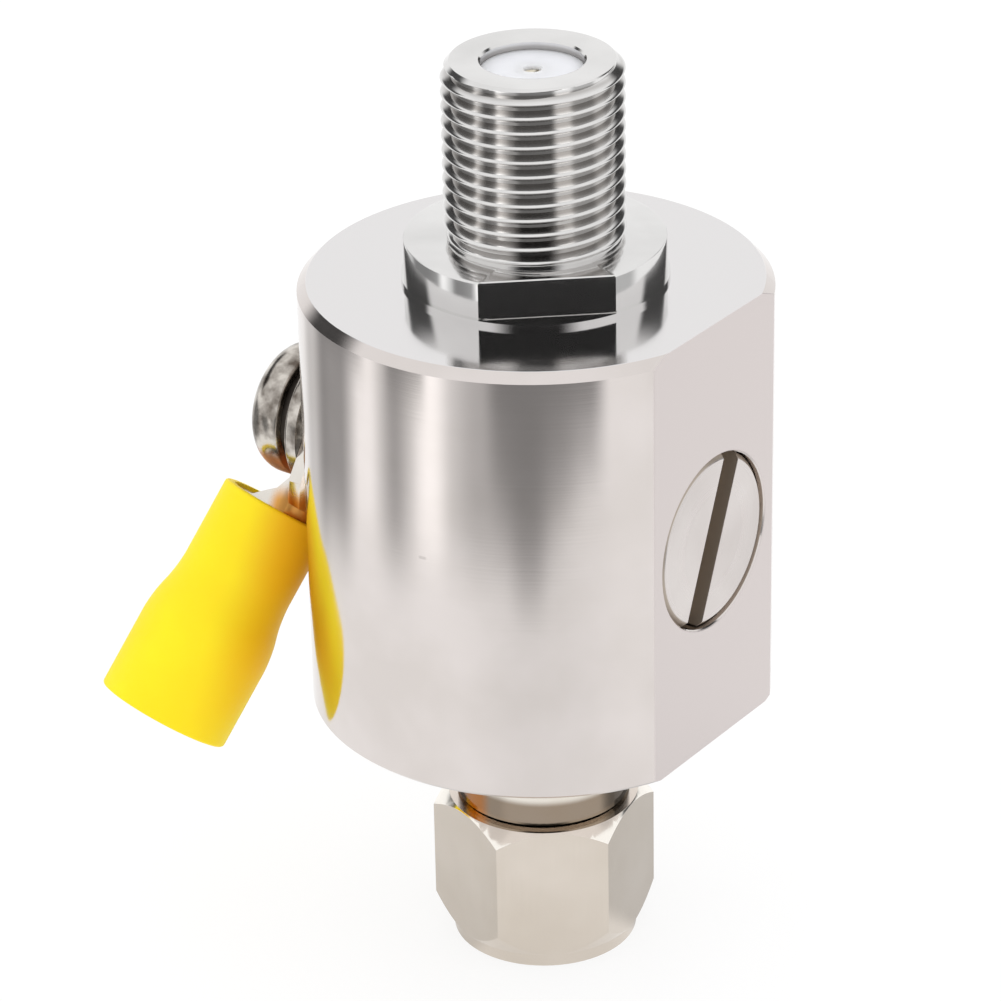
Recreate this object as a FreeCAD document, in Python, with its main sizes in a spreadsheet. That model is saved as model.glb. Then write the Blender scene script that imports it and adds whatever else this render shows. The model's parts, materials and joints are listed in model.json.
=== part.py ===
# Coaxial surge arrestor: a threaded jack on top of a round body, a captive coupling nut on a plug
# below it, a gas tube behind a slotted cap, and a ground screw that holds a sleeved ring terminal.
# Millimetres. The connector axis is Z, the nut's end face is z = 0, and the cap looks along +X.
import FreeCAD, Part
import os
import re
import Sketcher

doc = FreeCAD.newDocument("CoaxArrestor")

# Driving dimensions. Lengths are in mm, turns and slopes in degrees.
sizes = {
    # round body
    "bodyDiameter": 25.0,
    "bodyHeight": 24.45,
    "bodyTopChamfer": 0.5,
    "bodyBottomChamfer": 0.2,
    "flatDepth": 1.3,
    "cavityDiameter": 10.0,
    "radialAxisHeight": 27.55,
    "tubeAxisHeight": 26.95,
    # jack on top
    "jackHeight": 12.0,
    "jackThreadDiameter": 9.525,
    "jackTipChamfer": 0.45,
    "threadPitch": 0.79375,
    "threadAngle": 60.0,
    "threadCrest": 0.3,
    "reliefDiameter": 9.15,
    "reliefHeight": 0.5,
    "flangeDiameter": 13.75,
    "flangeHeight": 2.3,
    "flangeChamfer": 0.12,
    "lipDiameter": 14.07,
    "lipHeight": 0.25,
    "wrenchWidth": 11.8,
    "wrenchTurn": -49.0,
    "jackBoreDiameter": 5.4,
    "shellStepDepth": 9.4,
    "shellCounterbore": 7.8,
    "shankDiameter": 10.6,
    "shankLength": 5.0,
    # dielectric and contact in the jack
    "dielectricRecess": 0.55,
    "dielectricLift": 0.5,
    "entryHoleDiameter": 0.95,
    "entryChamfer": 0.06,
    "entryWall": 0.25,
    "contactDiameter": 1.8,
    "contactBore": 0.95,
    "contactTipBore": 0.24,
    "contactTipLength": 0.6,
    "contactSlotWidth": 0.1,
    "contactSlotLength": 4.0,
    # rod between the two connectors
    "conductorDiameter": 2.9,
    "conductorFlat": 1.15,
    "conductorFlatLength": 9.0,
    "conductorLift": 0.5,
    "stubLength": 3.0,
    "pinSocketDepth": 2.4,
    # plug and its neck
    "neckExposed": 6.4,
    "neckDiameter": 9.5,
    "neckEndChamfer": 0.15,
    "neckShankLength": 5.4,
    "neckBore": 4.4,
    "postDiameter": 7.4,
    "postEndHeight": 5.3,
    "insulatorRecess": 0.1,
    "pinDiameter": 0.9,
    "pinTipHeight": 0.6,
    "pinTipChamfer": 0.25,
    # retaining ring and gasket on the post
    "retainerDiameter": 9.1,
    "retainerThickness": 0.8,
    "retainerGrooveDepth": 0.45,
    "retainerGap": 2.0,
    "gasketDiameter": 8.7,
    "gasketHeight": 0.65,
    # coupling nut
    "nutFlats": 10.6,
    "nutHeight": 8.6,
    "nutTurn": -50.0,
    "nutTopFlatDiameter": 10.5,
    "nutTopSlope": 45.0,
    "nutRimDiameter": 10.2,
    "nutRimHeight": 0.8,
    "nutConeDiameter": 10.6,
    "nutConeSlope": 58.0,
    "nutThreadBore": 8.8,
    "nutThreadDepth": 5.6,
    "nutMouthChamfer": 0.35,
    "nutReliefDiameter": 9.5,
    "nutLipHeight": 1.6,
    # gas tube, its spring and the slotted cap
    "tubeDiameter": 8.0,
    "tubeBoreDiameter": 8.3,
    "electrodeThickness": 0.8,
    "electrodeCupDiameter": 4.2,
    "electrodeCupDepth": 1.3,
    "ceramicBore": 5.2,
    "capDiameter": 9.55,
    "capThickness": 3.3,
    "capRecess": 0.1,
    "capChamfer": 0.3,
    "capBoreChamfer": 0.1,
    "capSeatGap": 0.15,
    "slotWidth": 1.5,
    "slotDepth": 1.2,
    "slotTurn": 22.5,
    "springThickness": 0.2,
    "springBore": 3.0,
    "springDiameter": 7.6,
    "springHeight": 0.63,
    # ground screw with its spring washer and flat washer
    "seatDepth": 0.1,
    "seatDiameter": 11.4,
    "screwDiameter": 3.95,
    "screwLength": 8.0,
    "screwEndChamfer": 0.4,
    "screwHoleExtra": 0.3,
    "headDiameter": 7.5,
    "headHeight": 2.3,
    "headRound": 1.28,
    "headEdgeChamfer": 0.15,
    "recessSpan": 4.4,
    "recessWidth": 1.1,
    "recessDepth": 1.4,
    "springWasherDiameter": 6.6,
    "springWasherThickness": 0.78,
    "washerSplit": 0.4,
    "washerSplitSlant": 0.3,
    "washerBore": 4.3,
    "flatWasherDiameter": 8.5,
    "flatWasherThickness": 0.9,
    "flatWasherRound": 0.35,
    # ring terminal and its sleeve
    "terminalThickness": 0.8,
    "terminalTurn": 35.6,
    "eyeDiameter": 7.2,
    "eyeHole": 4.3,
    "tongueWidth": 6.0,
    "tongueLength": 1.3,
    "tongueEndWidth": 3.8,
    "bendDistance": 4.3,
    "barrelTilt": 11.8,
    "barrelDiameter": 5.3,
    "barrelStart": 0.05,
    "barrelLength": 9.45,
    "barrelMouthFlare": 0.35,
    "barrelMouthLength": 0.45,
    "scoopSide": 1.3,
    "scoopKneeDistance": 0.85,
    "scoopKneeHeight": 1.6,
    "scoopLength": 2.1,
    "scoopHeight": 3.0,
    "sleeveStart": 1.9,
    "sleeveNeckDiameter": 6.44,
    "sleeveNeckLength": 5.5,
    "sleeveFlareLength": 2.2,
    "sleeveMouthDiameter": 7.58,
    "sleeveMouthWall": 0.5,
    "sleeveFlareRound": 2.2,
    "sleeveLength": 13.25,
    # seals and clearances
    "jackSealDiameter": 12.4,
    "sealSection": 0.6,
    "threadClearance": 0.05,
    "runningClearance": 0.05,
    "seatClearance": 0.02,
}

# Levels and radii that follow from the driving dimensions.
places = {
    "bodyBottom": "nutHeight + neckExposed",
    "bodyTop": "bodyBottom + bodyHeight",
    "bodyRadius": "bodyDiameter / 2",
    "flatDistance": "bodyRadius - flatDepth",
    "groundSeat": "bodyRadius - seatDepth",
    "jackTop": "bodyTop + jackHeight",
    "flangeTop": "bodyTop + flangeHeight",
    "lipTop": "bodyTop + lipHeight",
    "shankBottom": "bodyTop - shankLength",
    "shankSeat": "shankBottom - threadClearance",
    "shellStep": "jackTop - shellStepDepth",
    "threadRadius": "jackThreadDiameter / 2",
    "reliefTop": "flangeTop + reliefHeight",
    "threadBottom": "reliefTop + threadRadius - reliefDiameter / 2",
    "threadTurns": "floor((jackTop - threadBottom - threadCrest) / threadPitch)",
    "threadDepth": "(threadPitch - threadCrest) / 2 / tan(threadAngle / 2 * 1 deg)",
    "neckTop": "bodyBottom + neckShankLength",
    "cavityFloor": "neckTop + threadClearance",
    "dielectricTop": "jackTop - dielectricRecess",
    "dielectricBottom": "shankBottom + dielectricLift",
    "contactTop": "dielectricTop - entryWall - seatClearance",
    "contactBottom": "dielectricBottom + seatClearance",
    "conductorTop": "dielectricBottom - seatClearance",
    "conductorBottom": "neckTop + conductorLift",
    "pinTop": "conductorBottom + pinSocketDepth - seatClearance",
    "pinBoreRadius": "pinDiameter / 2 + seatClearance",
    "sealRadius": "sealSection / 2",
    "neckBottom": "nutHeight + runningClearance",
    "insulatorBottom": "postEndHeight + insulatorRecess",
    "nutCorner": "nutFlats / sqrt(3)",
    "nutLipBottom": "nutHeight - nutLipHeight",
    "retainerTop": "nutLipBottom - 2 * runningClearance",
    "retainerBottom": "retainerTop - retainerThickness",
    "retainerGrooveRadius": "postDiameter / 2 - retainerGrooveDepth",
    "capRadius": "capDiameter / 2",
    "capOuter": "flatDistance - capRecess",
    "capInner": "capOuter - capThickness",
    "tubeInner": "conductorFlat + seatClearance",
    "tubeOuter": "capInner - springHeight",
    "capSeat": "capInner - capSeatGap",
    "capBoreRadius": "capRadius + runningClearance",
    "capSealPlace": "capSeat + seatClearance + sealRadius",
    "terminalOuter": "groundSeat + terminalThickness",
    "flatWasherInner": "terminalOuter + seatClearance",
    "flatWasherOuter": "flatWasherInner + flatWasherThickness",
    "springWasherInner": "flatWasherOuter + seatClearance",
    "springWasherOuter": "springWasherInner + springWasherThickness",
    "headInner": "springWasherOuter + seatClearance",
    "headOuter": "headInner + headHeight",
    "screwTip": "headInner - screwLength",
    "holeBottom": "screwTip - screwHoleExtra",
    "barrelRadius": "barrelDiameter / 2",
    "sleeveBoreRadius": "barrelRadius + runningClearance",
    "sleeveFlareStart": "sleeveStart + sleeveNeckLength",
    "sleeveFlareEnd": "sleeveFlareStart + sleeveFlareLength",
    "sleeveEnd": "sleeveStart + sleeveLength",
}


def bound(text, ownSheet=()):
    """Put the sheet's name before each alias in an expression."""
    def named(match):
        word = match.group(0)
        if word in ownSheet:
            return word
        if word in sizes:
            return "sizes." + word
        if word in places:
            return "places." + word
        return word
    return re.sub(r"[A-Za-z]\w*", named, text)


def fillSheet(name, rows):
    sheet = doc.addObject("Spreadsheet::Sheet", name)
    for row, (alias, text) in enumerate(rows.items(), 1):
        sheet.set("A%d" % row, alias)
        sheet.set("B%d" % row, text)
        sheet.setAlias("B%d" % row, alias)
    return sheet


sizeSheet = fillSheet("sizes", {alias: str(value) for alias, value in sizes.items()})
placeSheet = fillSheet("places", {alias: "=" + bound(text, places) for alias, text in places.items()})
doc.recompute()


def valueOf(text):
    """The number that an expression gives now."""
    return float(placeSheet.evalExpression(bound(text)))


def addBody(name, placement=None):
    body = doc.addObject("PartDesign::Body", name)
    body.Label = name
    if placement:
        body.setExpression("Placement", bound(placement))
    return body


def addSketch(body, role, name, lift="0", turn="0"):
    """A sketch on one of the body's own planes, lifted along its normal and turned about it."""
    sketch = body.newObject("Sketcher::SketchObject", body.Name + "_" + name)
    plane = next(item for item in body.Origin.OriginFeatures if item.Role == role)
    sketch.AttachmentSupport = [(plane, "")]
    sketch.MapMode = "FlatFace"
    sketch.setExpression("AttachmentOffset",
                         bound("placement(vector(0; 0; %s); rotation(vector(0; 0; 1); %s))" % (lift, turn)))
    return sketch


def bindPoint(sketch, curve, point, place):
    for kind, text in zip(("DistanceX", "DistanceY"), place):
        index = sketch.addConstraint(Sketcher.Constraint(kind, -1, 1, curve, point, valueOf(text)))
        sketch.setExpression("Constraints[%d]" % index, bound(text))


def drawOutline(sketch, corners):
    """A closed outline of straight lines through corners, each bound to its two expressions."""
    first = len(sketch.Geometry)
    count = len(corners)
    points = [FreeCAD.Vector(valueOf(across), valueOf(up), 0) for across, up in corners]
    for index in range(count):
        sketch.addGeometry(Part.LineSegment(points[index], points[(index + 1) % count]))
    for index in range(count):
        following = first + (index + 1) % count
        sketch.addConstraint(Sketcher.Constraint("Coincident", first + index, 2, following, 1))
    for index in range(count):
        bindPoint(sketch, first + index, 1, corners[index])


def drawCircle(sketch, radius, centre=("0", "0")):
    place = FreeCAD.Vector(valueOf(centre[0]), valueOf(centre[1]), 0)
    curve = sketch.addGeometry(Part.Circle(place, FreeCAD.Vector(0, 0, 1), valueOf(radius)))
    bindPoint(sketch, curve, 3, centre)
    index = sketch.addConstraint(Sketcher.Constraint("Radius", curve, valueOf(radius)))
    sketch.setExpression("Constraints[%d]" % index, bound(radius))


def turned(body, kind, name, corners):
    """Turn an outline of radius and height about the body's Z axis, adding or cutting."""
    sketch = addSketch(body, "XZ_Plane", name + "Outline")
    drawOutline(sketch, corners)
    feature = body.newObject("PartDesign::" + kind, body.Name + "_" + name)
    feature.Profile = sketch
    feature.ReferenceAxis = (sketch, ["V_Axis"])
    feature.Angle = 360
    return feature


def extruded(body, kind, name, sketch, length, outward=False, midplane=False):
    """Pad or pocket a sketch. A pocket cuts against the plane's normal unless it goes outward."""
    feature = body.newObject("PartDesign::" + kind, body.Name + "_" + name)
    feature.Profile = sketch
    feature.setExpression("Length", bound(length))
    if midplane:
        feature.Midplane = True
    elif kind == "Pocket":
        feature.Reversed = outward
    return feature


def rounded(body, kind, name, radius, wanted):
    """Fillet or chamfer the edges of the body's tip that fit a test."""
    doc.recompute()
    tip = body.Tip
    edges = ["Edge%d" % number for number, edge in enumerate(tip.Shape.Edges, 1) if wanted(edge)]
    feature = body.newObject("PartDesign::" + kind, body.Name + "_" + name)
    feature.Base = (tip, edges)
    feature.setExpression("Radius" if kind == "Fillet" else "Size", bound(radius))
    return feature


def repeated(body, name, feature, step, count):
    """Repeat a feature upwards along the body's Z axis."""
    axis = next(item for item in body.Origin.OriginFeatures if item.Role == "Z_Axis")
    pattern = body.newObject("PartDesign::LinearPattern", body.Name + "_" + name)
    pattern.Originals = [feature]
    pattern.Direction = (axis, [""])
    pattern.setExpression("Occurrences", bound(count))
    pattern.setExpression("Length", bound("%s * (%s - 1)" % (step, count)))
    body.Tip = pattern
    return pattern


def ringEdge(radius, level, axis="z"):
    """A test for a full circle of this radius at this level along the axis."""
    def wanted(edge):
        if edge.Curve.TypeId != "Part::GeomCircle" or not edge.Closed:
            return False
        near = abs(edge.Curve.Radius - valueOf(radius)) < 1e-4
        return near and abs(getattr(edge.Curve.Center, axis) - valueOf(level)) < 1e-4
    return wanted


def bracket(low, high, left, right):
    """Corners of a rectangle."""
    return [(left, low), (right, low), (right, high), (left, high)]


def centred(width, height, level="0"):
    """Corners of a rectangle about the upright axis and a level."""
    half = "(%s) / 2" % height
    return bracket("%s - %s" % (level, half), "%s + %s" % (level, half),
                   "-(%s) / 2" % width, "(%s) / 2" % width)


# The cap's side looks along +X from the gas tube's axis, and the screw's side along -X from its own.
capSide = "placement(vector(0; 0; tubeAxisHeight); rotation(vector(0; 1; 0); 90))"
screwSide = "placement(vector(0; 0; radialAxisHeight); rotation(vector(0; 1; 0); -90))"
terminalSide = screwSide + " * placement(vector(0; 0; 0); rotation(vector(0; 0; 1); 180 + terminalTurn))"


def makeHousing():
    body = addBody("housing")
    turned(body, "Revolution", "turning", [
        ("bodyRadius - bodyBottomChamfer", "bodyBottom"),
        ("bodyRadius", "bodyBottom + bodyBottomChamfer"),
        ("bodyRadius", "bodyTop - bodyTopChamfer"),
        ("bodyRadius - bodyTopChamfer", "bodyTop"),
        ("shankDiameter / 2 + threadClearance", "bodyTop"),
        ("shankDiameter / 2 + threadClearance", "shankSeat"),
        ("cavityDiameter / 2", "shankSeat"),
        ("cavityDiameter / 2", "cavityFloor"),
        ("neckDiameter / 2 + threadClearance", "cavityFloor"),
        ("neckDiameter / 2 + threadClearance", "bodyBottom")])
    # gland for the seal ring under the jack's flange
    turned(body, "Groove", "sealGland", bracket(
        "bodyTop - sealSection - seatClearance", "bodyTop",
        "jackSealDiameter / 2 - sealRadius - seatClearance",
        "jackSealDiameter / 2 + sealRadius + seatClearance"))
    # the flat that the cap is set in runs the whole height
    sketch = addSketch(body, "YZ_Plane", "flatOutline", "flatDistance")
    drawOutline(sketch, bracket("0", "jackTop", "-bodyRadius", "bodyRadius"))
    extruded(body, "Pocket", "flat", sketch, "bodyRadius", outward=True)
    for name, radius, depth in (("tubeBore", "tubeBoreDiameter / 2", "conductorFlat"),
                                ("capBore", "capBoreRadius", "capSeat")):
        sketch = addSketch(body, "YZ_Plane", name + "Circle", depth)
        drawCircle(sketch, radius, ("0", "tubeAxisHeight"))
        extruded(body, "Pocket", name, sketch, "bodyRadius", outward=True)
    rounded(body, "Chamfer", "capBoreMouth", "capBoreChamfer",
            ringEdge("capBoreRadius", "flatDistance", "x"))
    # the round seat of the ring terminal and the blind hole of the ground screw
    for name, radius, depth in (("groundSeat", "seatDiameter / 2", "groundSeat"),
                                ("screwHole", "screwDiameter / 2 + runningClearance", "holeBottom")):
        sketch = addSketch(body, "YZ_Plane", name + "Circle", "-" + depth)
        drawCircle(sketch, radius, ("0", "radialAxisHeight"))
        extruded(body, "Pocket", name, sketch, "bodyRadius")
    return body


def makeJackShell():
    body = addBody("jack_shell")
    turned(body, "Revolution", "turning", [
        ("shellCounterbore / 2", "shankBottom"),
        ("shankDiameter / 2", "shankBottom"),
        ("shankDiameter / 2", "bodyTop"),
        ("lipDiameter / 2", "bodyTop"),
        ("lipDiameter / 2", "lipTop"),
        ("flangeDiameter / 2", "lipTop"),
        ("flangeDiameter / 2", "flangeTop - flangeChamfer"),
        ("flangeDiameter / 2 - flangeChamfer", "flangeTop"),
        ("reliefDiameter / 2", "flangeTop"),
        ("reliefDiameter / 2", "reliefTop"),
        ("threadRadius", "threadBottom"),
        ("threadRadius", "jackTop - jackTipChamfer"),
        ("threadRadius - jackTipChamfer", "jackTop"),
        ("jackBoreDiameter / 2", "jackTop"),
        ("jackBoreDiameter / 2", "shellStep"),
        ("shellCounterbore / 2", "shellStep")])
    # the thread is cut as level V-shaped rings, one for each turn
    low, outside = "threadBottom + threadCrest", "threadRadius + threadDepth"
    cut = turned(body, "Groove", "threadRing", [
        ("threadRadius", low),
        (outside, low),
        (outside, "%s + threadPitch - threadCrest" % low),
        ("threadRadius", "%s + threadPitch - threadCrest" % low),
        ("threadRadius - threadDepth", "%s + (threadPitch - threadCrest) / 2" % low)])
    repeated(body, "threadRings", cut, "threadPitch", "threadTurns")
    # two flats for a wrench stop above the lip
    sketch = addSketch(body, "XY_Plane", "wrenchOutline", "lipTop", "wrenchTurn")
    drawOutline(sketch, bracket("-lipDiameter", "lipDiameter", "wrenchWidth / 2", "lipDiameter"))
    drawOutline(sketch, bracket("-lipDiameter", "lipDiameter", "-lipDiameter", "-wrenchWidth / 2"))
    extruded(body, "Pocket", "wrenchFlats", sketch, "flangeHeight", outward=True)
    return body


def makeJackDielectric():
    body = addBody("jack_dielectric")
    turned(body, "Revolution", "turning", [
        ("contactDiameter / 2 + seatClearance", "dielectricBottom"),
        ("shellCounterbore / 2 - seatClearance", "dielectricBottom"),
        ("shellCounterbore / 2 - seatClearance", "shellStep - seatClearance"),
        ("jackBoreDiameter / 2 - seatClearance", "shellStep - seatClearance"),
        ("jackBoreDiameter / 2 - seatClearance", "dielectricTop"),
        ("entryHoleDiameter / 2 + entryChamfer", "dielectricTop"),
        ("entryHoleDiameter / 2", "dielectricTop - entryChamfer"),
        ("entryHoleDiameter / 2", "contactTop + seatClearance"),
        ("contactDiameter / 2 + seatClearance", "contactTop + seatClearance")])
    return body


def makeJackContact():
    body = addBody("jack_contact")
    turned(body, "Revolution", "turning", [
        ("contactBore / 2", "contactBottom"),
        ("contactDiameter / 2", "contactBottom"),
        ("contactDiameter / 2", "contactTop"),
        ("contactTipBore / 2", "contactTop"),
        ("contactBore / 2", "contactTop - contactTipLength")])
    # two crossed cuts leave four spring fingers, which close together at their tips until a pin enters
    for name, turn in (("slot", "0"), ("crossSlot", "90")):
        sketch = addSketch(body, "XY_Plane", name + "Outline", "contactTop", turn)
        drawOutline(sketch, centred("contactSlotWidth", "2 * contactDiameter"))
        extruded(body, "Pocket", name, sketch, "contactSlotLength")
    return body


def makeCentreConductor():
    body = addBody("centre_conductor")
    turned(body, "Revolution", "turning", [
        ("pinBoreRadius", "conductorBottom"),
        ("conductorDiameter / 2", "conductorBottom"),
        ("conductorDiameter / 2", "conductorTop"),
        ("contactBore / 2 - seatClearance", "conductorTop"),
        ("contactBore / 2 - seatClearance", "conductorTop + stubLength"),
        ("0", "conductorTop + stubLength"),
        ("0", "conductorBottom + pinSocketDepth"),
        ("pinBoreRadius", "conductorBottom + pinSocketDepth")])
    # the flat that the gas tube stands on
    sketch = addSketch(body, "YZ_Plane", "flatOutline", "conductorFlat")
    drawOutline(sketch, centred("2 * conductorDiameter", "conductorFlatLength", "tubeAxisHeight"))
    extruded(body, "Pocket", "flat", sketch, "conductorDiameter", outward=True)
    return body


def makePlugNeck():
    body = addBody("plug_neck")
    turned(body, "Revolution", "turning", [
        ("neckBore / 2", "postEndHeight"),
        ("postDiameter / 2", "postEndHeight"),
        ("postDiameter / 2", "retainerBottom - seatClearance"),
        ("retainerGrooveRadius", "retainerBottom - seatClearance"),
        ("retainerGrooveRadius", "retainerTop + seatClearance"),
        ("postDiameter / 2", "retainerTop + seatClearance"),
        ("postDiameter / 2", "neckBottom"),
        ("neckDiameter / 2 - neckEndChamfer", "neckBottom"),
        ("neckDiameter / 2", "neckBottom + neckEndChamfer"),
        ("neckDiameter / 2", "neckTop"),
        ("neckBore / 2", "neckTop")])
    return body


def makeRetainingRing():
    body = addBody("retaining_ring")
    turned(body, "Revolution", "turning", bracket(
        "retainerBottom", "retainerTop", "retainerGrooveRadius + seatClearance", "retainerDiameter / 2"))
    sketch = addSketch(body, "XY_Plane", "gapOutline", "retainerTop")
    drawOutline(sketch, bracket("-retainerGap / 2", "retainerGap / 2", "0", "retainerDiameter"))
    extruded(body, "Pocket", "gap", sketch, "2 * retainerThickness")
    return body


def makePlugGasket():
    body = addBody("plug_gasket")
    turned(body, "Revolution", "moulding", bracket(
        "postEndHeight", "postEndHeight + gasketHeight",
        "postDiameter / 2 + seatClearance", "gasketDiameter / 2"))
    return body


def makePlugInsulator():
    body = addBody("plug_insulator")
    turned(body, "Revolution", "turning", bracket(
        "insulatorBottom", "neckTop", "pinBoreRadius", "neckBore / 2 - seatClearance"))
    return body


def makePlugPin():
    body = addBody("plug_pin")
    turned(body, "Revolution", "turning", [
        ("0", "pinTipHeight"),
        ("pinDiameter / 2 - pinTipChamfer", "pinTipHeight"),
        ("pinDiameter / 2", "pinTipHeight + pinTipChamfer"),
        ("pinDiameter / 2", "pinTop"),
        ("0", "pinTop")])
    return body


def makeCouplingNut():
    body = addBody("coupling_nut")
    sketch = addSketch(body, "XY_Plane", "hexagon", "0", "nutTurn")
    drawOutline(sketch, [("nutCorner * cos(%d deg)" % angle, "nutCorner * sin(%d deg)" % angle)
                         for angle in range(30, 390, 60)])
    extruded(body, "Pad", "bar", sketch, "nutHeight")
    # the top corners are turned off to a cone
    outside = "2 * nutCorner"
    turned(body, "Groove", "topCone", [
        ("nutTopFlatDiameter / 2", "nutHeight"),
        (outside, "nutHeight - (%s - nutTopFlatDiameter / 2) * tan(nutTopSlope * 1 deg)" % outside),
        (outside, "nutHeight")])
    # below, a steeper cone ends at a short round rim
    turned(body, "Groove", "bottomCone", [
        ("nutRimDiameter / 2", "0"),
        (outside, "0"),
        (outside, "nutRimHeight + (%s - nutConeDiameter / 2) * tan(nutConeSlope * 1 deg)" % outside),
        ("nutConeDiameter / 2", "nutRimHeight"),
        ("nutRimDiameter / 2", "nutRimHeight")])
    # threaded mouth, relief, and the inward lip that turns on the post
    turned(body, "Groove", "bore", [
        ("0", "0"),
        ("nutThreadBore / 2 + nutMouthChamfer", "0"),
        ("nutThreadBore / 2", "nutMouthChamfer"),
        ("nutThreadBore / 2", "nutThreadDepth"),
        ("nutReliefDiameter / 2", "nutThreadDepth"),
        ("nutReliefDiameter / 2", "nutLipBottom"),
        ("postDiameter / 2 + runningClearance", "nutLipBottom"),
        ("postDiameter / 2 + runningClearance", "nutHeight"),
        ("0", "nutHeight")])
    return body


def makeGasTube():
    """A ceramic tube with a metal electrode brazed into each end."""
    ceramic = addBody("gas_tube_ceramic", capSide)
    turned(ceramic, "Revolution", "tube", bracket(
        "tubeInner + electrodeThickness", "tubeOuter - electrodeThickness",
        "ceramicBore / 2", "tubeDiameter / 2"))
    electrodes = []
    for name, face, inward in (("inner_electrode", "tubeInner", "+"), ("outer_electrode", "tubeOuter", "-")):
        body = addBody(name, capSide)
        shoulder = "%s %s electrodeThickness" % (face, inward)
        cup = "%s %s electrodeCupDepth" % (shoulder, inward)
        turned(body, "Revolution", "turning", [
            ("0", face),
            ("tubeDiameter / 2", face),
            ("tubeDiameter / 2", shoulder),
            ("electrodeCupDiameter / 2", shoulder),
            ("electrodeCupDiameter / 2", cup),
            ("0", cup)])
        electrodes.append(body)
    return [ceramic] + electrodes


def makeContactSpring():
    """A coned disc between the gas tube and the cap."""
    body = addBody("contact_spring", capSide)
    turned(body, "Revolution", "pressing", [
        ("springBore / 2", "tubeOuter + seatClearance"),
        ("springDiameter / 2", "capInner - seatClearance - springThickness"),
        ("springDiameter / 2", "capInner - seatClearance"),
        ("springBore / 2", "tubeOuter + seatClearance + springThickness")])
    return body


def makeGasTubeCap():
    body = addBody("gas_tube_cap", capSide)
    rebate = "capRadius - sealSection - 2 * seatClearance"
    turned(body, "Revolution", "turning", [
        ("0", "capInner"),
        (rebate, "capInner"),
        (rebate, "capSealPlace + sealRadius + seatClearance"),
        ("capRadius", "capSealPlace + sealRadius + seatClearance"),
        ("capRadius", "capOuter - capChamfer"),
        ("capRadius - capChamfer", "capOuter"),
        ("0", "capOuter")])
    sketch = addSketch(body, "XY_Plane", "slotOutline", "capOuter", "-slotTurn")
    drawOutline(sketch, centred("2 * capDiameter", "slotWidth"))
    extruded(body, "Pocket", "slot", sketch, "slotDepth")
    return body


def makeGroundScrew():
    body = addBody("ground_screw", screwSide)
    turned(body, "Revolution", "turning", [
        ("0", "screwTip"),
        ("screwDiameter / 2 - screwEndChamfer", "screwTip"),
        ("screwDiameter / 2", "screwTip + screwEndChamfer"),
        ("screwDiameter / 2", "headInner"),
        ("headDiameter / 2", "headInner"),
        ("headDiameter / 2", "headOuter"),
        ("0", "headOuter")])
    rounded(body, "Fillet", "crown", "headRound", ringEdge("headDiameter / 2", "headOuter"))
    rounded(body, "Chamfer", "underEdge", "headEdgeChamfer", ringEdge("headDiameter / 2", "headInner"))
    for name, turn in (("recess", "0"), ("crossRecess", "90")):
        sketch = addSketch(body, "XY_Plane", name + "Outline", "headOuter", turn)
        drawOutline(sketch, centred("recessSpan", "recessWidth"))
        extruded(body, "Pocket", name, sketch, "recessDepth").TaperAngle = -8
    return body


def makeSpringWasher():
    body = addBody("spring_washer", screwSide)
    turned(body, "Revolution", "ring", bracket(
        "springWasherInner", "springWasherOuter", "washerBore / 2", "springWasherDiameter / 2"))
    # the split runs aslant through the thickness on one side
    sketch = addSketch(body, "YZ_Plane", "splitOutline")
    half = "washerSplit / 2"
    drawOutline(sketch, [
        ("-%s - washerSplitSlant" % half, "springWasherInner - washerSplit"),
        ("%s - washerSplitSlant" % half, "springWasherInner - washerSplit"),
        ("%s + washerSplitSlant" % half, "springWasherOuter + washerSplit"),
        ("-%s + washerSplitSlant" % half, "springWasherOuter + washerSplit")])
    extruded(body, "Pocket", "split", sketch, "springWasherDiameter", outward=True)
    return body


def makeFlatWasher():
    body = addBody("flat_washer", screwSide)
    turned(body, "Revolution", "ring", bracket(
        "flatWasherInner", "flatWasherOuter", "washerBore / 2", "flatWasherDiameter / 2"))
    rounded(body, "Fillet", "outerEdge", "flatWasherRound",
            ringEdge("flatWasherDiameter / 2", "flatWasherOuter"))
    return body


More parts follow.
